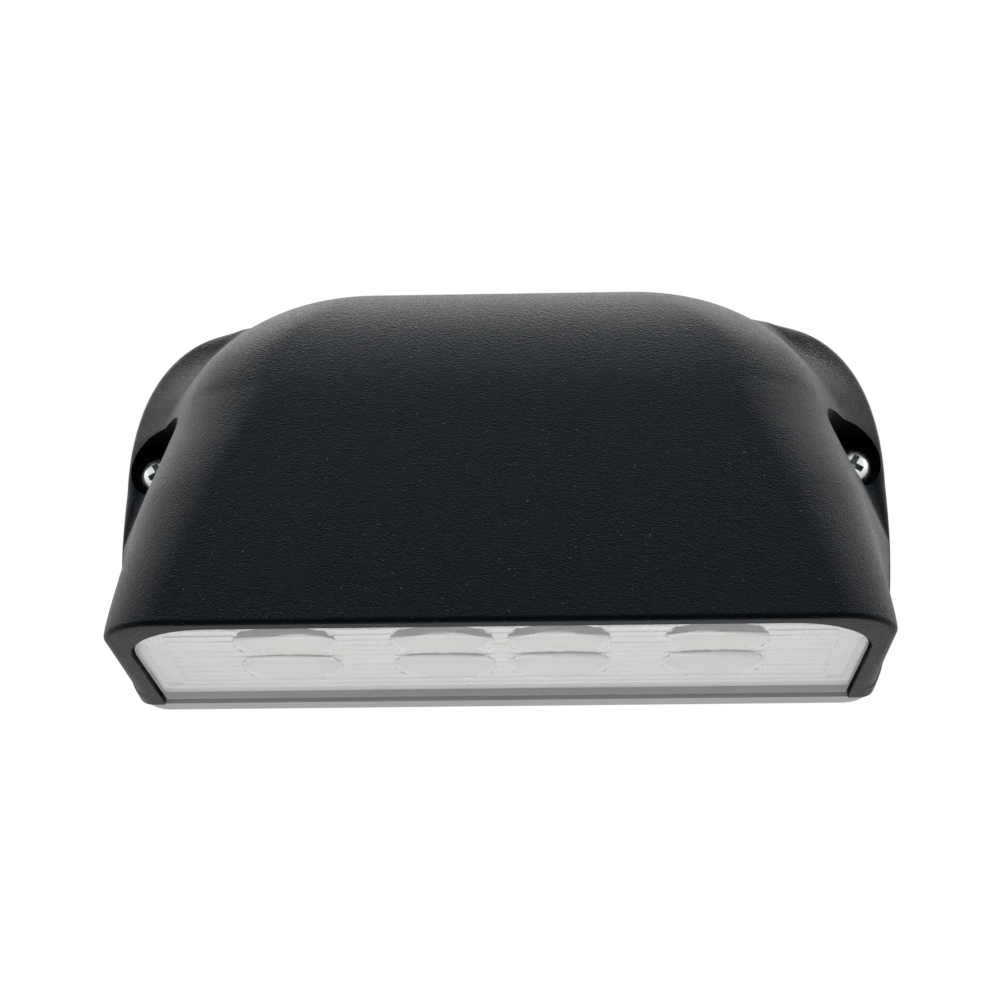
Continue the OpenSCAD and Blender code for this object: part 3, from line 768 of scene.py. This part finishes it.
def make_world():
    """Plain light for surfaces, and a white background for camera, reflections and glass."""
    world = bpy.data.worlds.new("studio")
    world.use_nodes = True
    bpy.context.scene.world = world
    tree = world.node_tree
    tree.nodes.clear()
    path = tree.nodes.new("ShaderNodeLightPath")
    any_ray = add(tree, "ShaderNodeMath", operation="MAXIMUM")
    both = add(tree, "ShaderNodeMath", operation="MAXIMUM")
    tree.links.new(path.outputs["Is Camera Ray"], any_ray.inputs[0])
    tree.links.new(path.outputs["Is Transmission Ray"], any_ray.inputs[1])
    tree.links.new(any_ray.outputs[0], both.inputs[0])
    tree.links.new(path.outputs["Is Glossy Ray"], both.inputs[1])
    strength = add(tree, "ShaderNodeMapRange")
    strength.inputs["To Min"].default_value = SURFACE_LIGHT
    strength.inputs["To Max"].default_value = BACKGROUND
    tree.links.new(both.outputs[0], strength.inputs["Value"])
    back = tree.nodes.new("ShaderNodeBackground")
    back.inputs["Color"].default_value = (1, 1, 1, 1)
    tree.links.new(strength.outputs["Result"], back.inputs["Strength"])
    out = tree.nodes.new("ShaderNodeOutputWorld")
    tree.links.new(back.outputs[0], out.inputs["Surface"])


FLOOR_Z = -500
FLOOR_REACH = 9000


def make_floor():
    """Plain pale floor, far below the part."""
    corners = ((-1, -1), (1, -1), (1, 1), (-1, 1))
    floor = new_object("floor", [(x * FLOOR_REACH, y * FLOOR_REACH, FLOOR_Z) for x, y in corners],
                       [(0, 1, 2, 3)])
    floor.data.transform(Matrix.Scale(MM, 4))
    material, tree, shader = new_material("pale_floor")
    tint = ramp(tree, object_noise(tree, 160.0, 2), 0.3, 0.7, 0, 1)
    tree.links.new(mixed(tree, tint, (0.86, 0.86, 0.86), (0.9, 0.9, 0.9)), shader.inputs["Base Color"])
    shader.inputs["Roughness"].default_value = 0.8
    floor.data.materials.append(material)


CAMERA_AZIMUTH = math.radians(1.715)
CAMERA_ELEVATION = math.radians(-25.526)
CAMERA_DISTANCE = 0.42
CAMERA_TARGET = Vector((0, -0.020, -0.0084))
CAMERA_LENS = 87.478
SENSOR_WIDTH = 36.0
CLIP_START = 0.01
CLIP_END = 40
TARGET_PIXEL = (502.41, 481.64)
IMAGE_SIZE = 1000


def make_camera():
    """Camera below the front of the part, framed as the photograph is."""
    cam = bpy.data.cameras.new("camera")
    obj = bpy.data.objects.new("camera", cam)
    bpy.context.scene.collection.objects.link(obj)
    flat = math.cos(CAMERA_ELEVATION)
    back = Vector((math.sin(CAMERA_AZIMUTH) * flat, -math.cos(CAMERA_AZIMUTH) * flat,
                   math.sin(CAMERA_ELEVATION)))
    obj.location = CAMERA_TARGET + back * CAMERA_DISTANCE
    obj.rotation_mode = "QUATERNION"
    obj.rotation_quaternion = (-back).to_track_quat("-Z", "Y")
    cam.sensor_width = SENSOR_WIDTH
    cam.lens = CAMERA_LENS
    cam.shift_x = (IMAGE_SIZE / 2 - TARGET_PIXEL[0]) / IMAGE_SIZE
    cam.shift_y = (TARGET_PIXEL[1] - IMAGE_SIZE / 2) / IMAGE_SIZE
    cam.clip_start, cam.clip_end = CLIP_START, CLIP_END
    bpy.context.scene.camera = obj


def make_lights():
    """Soft lamps above the part on all sides, with places and sizes in metres."""
    make_world()
    area("left", (-0.6, 0.5, 0.78), (0.6, 0.6), 1.0)
    area("right", (0.6, 0.5, 0.78), (0.6, 0.6), 0.8)
    area("left_front", (-0.85, -0.36, 0.5), (0.3, 0.3), 5)
    area("right_front", (0.8, -0.55, 0.55), (0.3, 0.3), 5)
    area("left_high", (-0.42, 0.04, 1.02), (0.25, 0.25), 3.5)
    area("right_high", (0.5, -0.23, 0.95), (0.25, 0.25), 4)
    area("top", (0, 0.25, 1.0), (1.0, 0.4), 5)


def paint(node, material):
    """Gives a carried-over node its material."""
    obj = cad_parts[node]
    obj.data.materials.clear()
    obj.data.materials.append(material)


make_camera()
make_lights()
make_floor()

hood_plastic = grained_hood()
base_plastic = moulded("grey_base", (0.37, 0.38, 0.38), (0.39, 0.40, 0.40), 0.5, 0.4, 0.15, 0.4)
rubber = moulded("black_rubber", (0.010, 0.010, 0.011), (0.018, 0.018, 0.018), 0.65, 0.3, 0.2, 0.3)
reflector_plastic = moulded("white_reflector", (0.84, 0.84, 0.83), (0.88, 0.88, 0.87), 0.25, 0.5, 0.03, 0.5)
board_white = moulded("white_board", (0.78, 0.79, 0.76), (0.84, 0.85, 0.82), 0.4, 0.25, 0.08, 0.5)
led_white = moulded("led_package", (0.80, 0.74, 0.42), (0.86, 0.82, 0.56), 0.35, 0.3, 0.05, 0.5, 1.0)
chip_black = moulded("chip_black", (0.015, 0.015, 0.017), (0.025, 0.025, 0.028), 0.45, 0.1, 0.2, 0.4)
ceramic = moulded("glazed_ceramic", (0.02, 0.02, 0.024), (0.035, 0.035, 0.04), 0.3, 0.2, 0.05, 0.5)
terminal_green = moulded("green_terminal", (0.02, 0.15, 0.07), (0.03, 0.2, 0.09), 0.35, 0.4, 0.05, 0.5)
zinc = metal("bright_zinc", (0.8, 0.83, 0.84), 0.34)
# Darker copy of the zinc for the cross recesses: painted shade, not a different metal.
recess = metal("screw_recess_painted_shade", (0.44, 0.5, 0.49), 0.45)
steel = metal("zinc_plate", (0.66, 0.67, 0.69), 0.38)
can = metal("aluminium_can", (0.74, 0.75, 0.76), 0.32)

make_hood(hood_plastic)
make_lens(lens_material())
for side, end in ((-1, "left"), (1, "right")):
    make_screw(side, "screw_" + end, "fixing_screw_" + end, zinc, recess)

CARRIED_OVER = (
    ("base_plate", base_plastic),
    ("base_seal", rubber),
    ("lens_seal", rubber),
    ("cord_grommet", rubber),
    ("reflector", reflector_plastic),
    ("circuit_board", board_white),
    ("driver_chip", chip_black),
    ("input_diode", chip_black),
    ("surge_diode", chip_black),
    ("resistor_1", ceramic),
    ("resistor_2", ceramic),
    ("capacitor", can),
    ("terminal_block", terminal_green),
    ("board_screw_1", steel),
    ("board_screw_2", steel),
)
for node, material in CARRIED_OVER:
    paint(node, material)
for i in range(len(LIGHT_X) * len(LIGHT_S)):
    paint(f"led_{i + 1}", led_white)
for i in range(len(BASE_SCREWS)):
    paint(f"base_screw_{i + 1}", steel)

bpy.context.scene.view_settings.view_transform = "Standard"
bpy.context.view_layer.update()
